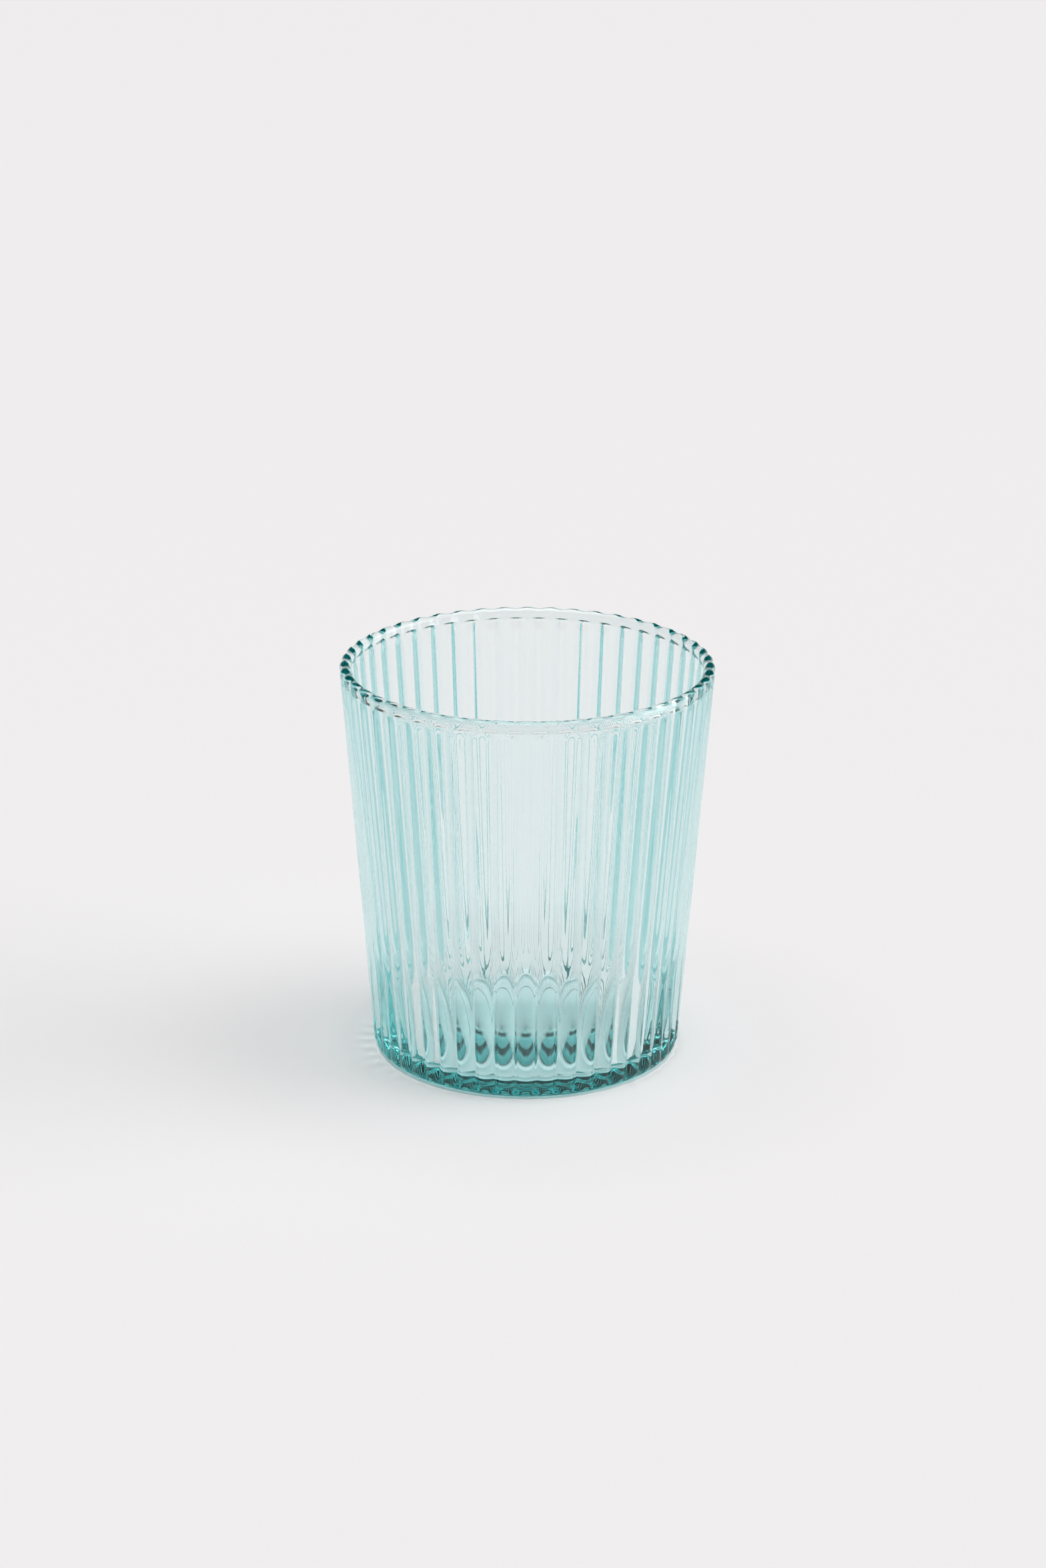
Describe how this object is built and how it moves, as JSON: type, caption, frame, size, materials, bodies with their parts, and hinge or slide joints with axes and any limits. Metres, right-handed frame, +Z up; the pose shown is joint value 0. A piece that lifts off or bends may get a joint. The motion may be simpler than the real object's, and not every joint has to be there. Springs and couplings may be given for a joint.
{
  "type": "water glass",
  "caption": "Tapered drinking glass with upright ribs outside, a smooth inside, a thick base and a rounded lip with a faint wave, made to hold water.",
  "frame": {"origin": "centre of the underside, on the plane that the glass stands on", "axes": "+Z up along the axis of the glass, towards the rim; X and Y lie level, and the ribs repeat evenly about Z"},
  "size_m": [0.086, 0.086, 0.0935],
  "materials": {
    "aqua_glass": "clear, smooth, fire-polished, tinted aqua all through"
  },
  "bodies": {
    "root": {"base": "aqua_glass", "ribbed_wall": "aqua_glass", "rim": "aqua_glass"}
  },
  "joints": []
}
